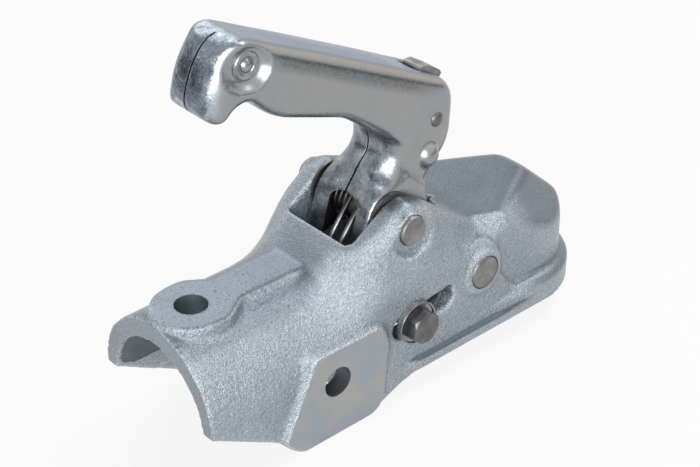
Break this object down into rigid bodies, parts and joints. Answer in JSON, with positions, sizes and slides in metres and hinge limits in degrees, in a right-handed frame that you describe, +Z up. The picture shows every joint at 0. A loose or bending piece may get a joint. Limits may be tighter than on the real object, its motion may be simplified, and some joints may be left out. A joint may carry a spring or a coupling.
{
  "type": "trailer coupling head",
  "caption": "Cast ball coupling head for a round drawbar tube, open, with its pressed steel hand lever raised and a wear-indicating slide bolt.",
  "frame": {"origin": "on the axis of the drawbar bore, in the plane of the casting's rear face", "axes": "+X forward along the drawbar bore to the ball, +Y to the left, +Z up"},
  "size_m": [0.2364, 0.0961, 0.19],
  "materials": {
    "cast_zinc": "rough zinc coated casting",
    "bright_zinc": "bright zinc plated pressed steel",
    "raw_pin": "raw turned steel",
    "dark_bolt": "dull zinc plated",
    "bright_washer": "bright plated",
    "spring_wire": "plated spring wire",
    "jaw_iron": "ground casting"
  },
  "bodies": {
    "body": {"housing": "cast_zinc", "lever_pivot_pin": "raw_pin", "jaw_pin": "raw_pin", "guide_roller": "raw_pin", "pivot_bush": "raw_pin", "pivot_washers": "raw_pin", "lever_spring": "spring_wire"},
    "lever": {"lever_shell": "bright_zinc", "grip_rivet": "bright_zinc", "grip_spacer": "raw_pin", "elbow_rivet": "bright_zinc", "elbow_spacers": "raw_pin", "catch_spring": "spring_wire"},
    "catch": {"safety_catch": "raw_pin"},
    "slide": {"slide_bolt": "dark_bolt", "slide_washer_near": "bright_washer", "slide_washer_far": "bright_washer", "slide_lock_washer": "bright_washer", "slide_nut": "dark_bolt", "ball_jaw": "jaw_iron"}
  },
  "joints": [
    {"name": "lever_swing", "type": "hinge", "parent": "body", "child": "lever", "pos_m": [0.114, 0, 0.0535], "axis": [0, 1, 0], "range_deg": [-20.7, 0]},
    {"name": "slide_travel", "type": "slide", "parent": "body", "child": "slide", "axis": [0.9903, 0, 0.1392], "range_m": [0, 0.0163]},
    {"name": "catch_turn", "type": "hinge", "parent": "lever", "child": "catch", "pos_m": [0.144, 0, 0.0896], "axis": [0, 1, 0], "range_deg": [0, 6], "stiffness_Nm_per_rad": 0.05, "springref_deg": -11.46}
  ],
  "couplings": [
    {"joint": "slide_travel", "follows": "lever_swing", "m_per_rad": -0.0451}
  ]
}
